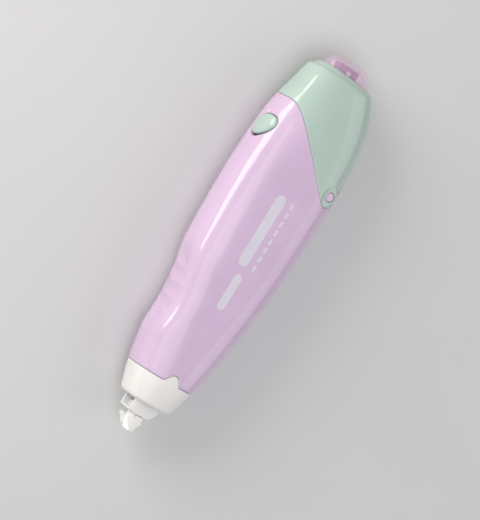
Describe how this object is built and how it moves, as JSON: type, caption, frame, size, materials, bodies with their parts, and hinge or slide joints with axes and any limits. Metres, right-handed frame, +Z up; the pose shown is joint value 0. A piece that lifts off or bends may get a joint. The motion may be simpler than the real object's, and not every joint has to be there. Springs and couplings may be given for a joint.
{
  "type": "correction tape dispenser",
  "caption": "Slim pen-style correction tape dispenser with a retracting tape head, finger recess, hinged rear cap and end knock.",
  "frame": {"origin": "centre of the lower flat flank that the dispenser lies on", "axes": "+X along the body from the tape head to the knock, +Y towards the finger recess and latch button, +Z up out of the printed flank"},
  "size_m": [0.13, 0.0351, 0.019],
  "materials": {
    "lilac_plastic": "glossy moulded ABS, lilac",
    "mint_plastic": "glossy moulded ABS, pale mint",
    "white_plastic": "satin moulded plastic, warm white",
    "blade_plastic": "satin acetal, off-white",
    "pink_clear_plastic": "clear pink plastic",
    "magenta_plastic": "deep magenta plastic",
    "natural_plastic": "milky polystyrene",
    "gear_plastic": "acetal gears, pale grey",
    "tape_coating": "opaque white correction film",
    "carrier_film": "waxed carrier paper",
    "spring_steel": "spring wire",
    "clutch_felt": "grey felt"
  },
  "bodies": {
    "casing": {"upper_shell": "lilac_plastic", "lower_shell": "lilac_plastic", "nose_cap": "white_plastic", "return_spring": "spring_steel"},
    "cap": {"rear_cap": "mint_plastic"},
    "latch": {"latch_button": "mint_plastic"},
    "knock": {"knock_button": "pink_clear_plastic", "knock_plunger": "magenta_plastic"},
    "carriage": {"slide_carriage": "natural_plastic", "refill_base": "natural_plastic", "refill_cover": "natural_plastic", "head_holder": "white_plastic", "applicator_blade": "blade_plastic", "feed_tape": "tape_coating", "return_tape": "carrier_film"},
    "supply": {"supply_gear": "gear_plastic", "slip_clutch": "clutch_felt", "supply_reel": "natural_plastic", "tape_roll": "tape_coating"},
    "idler": {"idler_gear": "gear_plastic"},
    "takeup": {"takeup_gear": "gear_plastic", "takeup_reel": "natural_plastic", "used_tape": "carrier_film"},
    "follower": {"cam_follower": "spring_steel"}
  },
  "joints": [
    {"name": "refill_slide", "type": "slide", "parent": "casing", "child": "carriage", "axis": [1, 0, 0], "range_m": [-0.0015, 0.01], "deforming": ["return_spring"]},
    {"name": "knock_slide", "type": "slide", "parent": "cap", "child": "knock", "axis": [1, 0, 0], "range_m": [-0.0015, 0.01]},
    {"name": "rear_cap_hinge", "type": "hinge", "parent": "casing", "child": "cap", "pos_m": [0.0265, -0.0129, 0.0095], "axis": [0, 0, 1], "range_deg": [-90, 0]},
    {"name": "latch_press", "type": "slide", "parent": "cap", "child": "latch", "axis": [0, -1, 0], "range_m": [0, 0.0015], "stiffness_N_per_m": 600},
    {"name": "supply_spin", "type": "hinge", "parent": "carriage", "child": "supply", "pos_m": [0.014, -0.0005, 0.0095], "axis": [0, 0, 1], "continuous": true},
    {"name": "idler_spin", "type": "hinge", "parent": "carriage", "child": "idler", "pos_m": [-0.0012, -0.0005, 0.0095], "axis": [0, 0, 1], "continuous": true},
    {"name": "takeup_spin", "type": "hinge", "parent": "carriage", "child": "takeup", "pos_m": [-0.0128, -0.0005, 0.0095], "axis": [0, 0, 1], "continuous": true},
    {"name": "follower_swing", "type": "hinge", "parent": "casing", "child": "follower", "pos_m": [-0.002, 0.0062, 0.0095], "axis": [0, 0, 1], "range_deg": [-1, 6]}
  ],
  "couplings": [
    {"joint": "knock_slide", "follows": "refill_slide", "ratio": 1},
    {"joint": "idler_spin", "follows": "supply_spin", "ratio": -2.4545},
    {"joint": "takeup_spin", "follows": "supply_spin", "ratio": 1.5},
    {"joint": "follower_swing", "follows": "refill_slide", "rad_per_m": 10}
  ]
}
